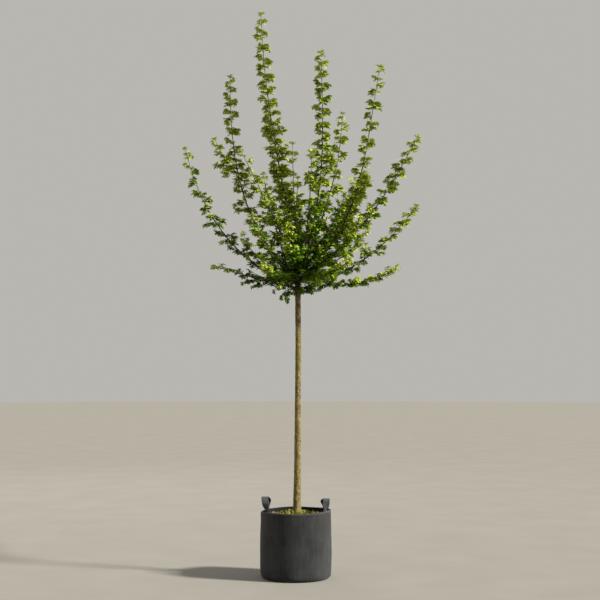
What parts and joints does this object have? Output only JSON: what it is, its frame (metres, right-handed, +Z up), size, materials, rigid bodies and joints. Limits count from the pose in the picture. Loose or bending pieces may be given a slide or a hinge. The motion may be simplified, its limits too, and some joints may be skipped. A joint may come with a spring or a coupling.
{
  "type": "young standard hawthorn tree in a felt planting bag",
  "caption": "Young clear-stemmed hawthorn with an open fan of leafy wands, standing in compost in a round felt planting bag with two loop handles.",
  "frame": {"origin": "centre of the bag's flat underside, where it stands on the ground", "axes": "+Z up the trunk, +X to the right and +Y away from the viewer as pictured"},
  "size_m": [1.2928, 1.1401, 3.0271],
  "materials": {
    "foliage": "satin, light yellow green at the tips to deep green inside",
    "bark": "matte, greenish brown with pale lichen",
    "felt": "matte charcoal felt",
    "strap": "matte charcoal webbing",
    "compost": "rough dark brown"
  },
  "bodies": {
    "root": {"bough_back": "bark", "bough_back_left_low": "bark", "bough_back_right": "bark", "bough_back_right_low": "bark", "bough_front": "bark", "bough_front_left": "bark", "bough_front_left_low": "bark", "bough_front_right": "bark", "bough_front_right_low": "bark", "bough_left": "bark", "bough_left_low": "bark", "bough_right": "bark", "bough_right_low": "bark", "compost": "compost", "felt_bag": "felt", "foliage_back_high": "foliage", "foliage_back_left_low": "foliage", "foliage_back_left_outer": "foliage", "foliage_back_left_tall": "foliage", "foliage_back_middle": "foliage", "foliage_back_right_low": "foliage", "foliage_back_right_mid": "foliage", "foliage_back_right_outer": "foliage", "foliage_back_right_tall": "foliage", "foliage_front_left_low": "foliage", "foliage_front_left_outer": "foliage", "foliage_front_low": "foliage", "foliage_front_middle": "foliage", "foliage_front_right_low": "foliage", "foliage_front_right_mid": "foliage", "foliage_front_right_outer": "foliage", "foliage_front_right_tall": "foliage", "foliage_leader": "foliage", "foliage_left_inner": "foliage", "foliage_left_low": "foliage", "foliage_left_outer": "foliage", "foliage_left_tall": "foliage", "foliage_low_back": "foliage", "foliage_low_front": "foliage", "foliage_low_left": "foliage", "foliage_low_right": "foliage", "foliage_middle_tall": "foliage", "foliage_right_low": "foliage", "foliage_right_outer": "foliage", "foliage_right_tall": "foliage", "foliage_right_wide": "foliage", "foliage_spur_back": "foliage", "foliage_spur_back_right": "foliage", "foliage_spur_front": "foliage", "foliage_spur_front_left": "foliage", "foliage_spur_front_right": "foliage", "handle_left": "strap", "handle_right": "strap", "trunk": "bark"}
  },
  "joints": []
}
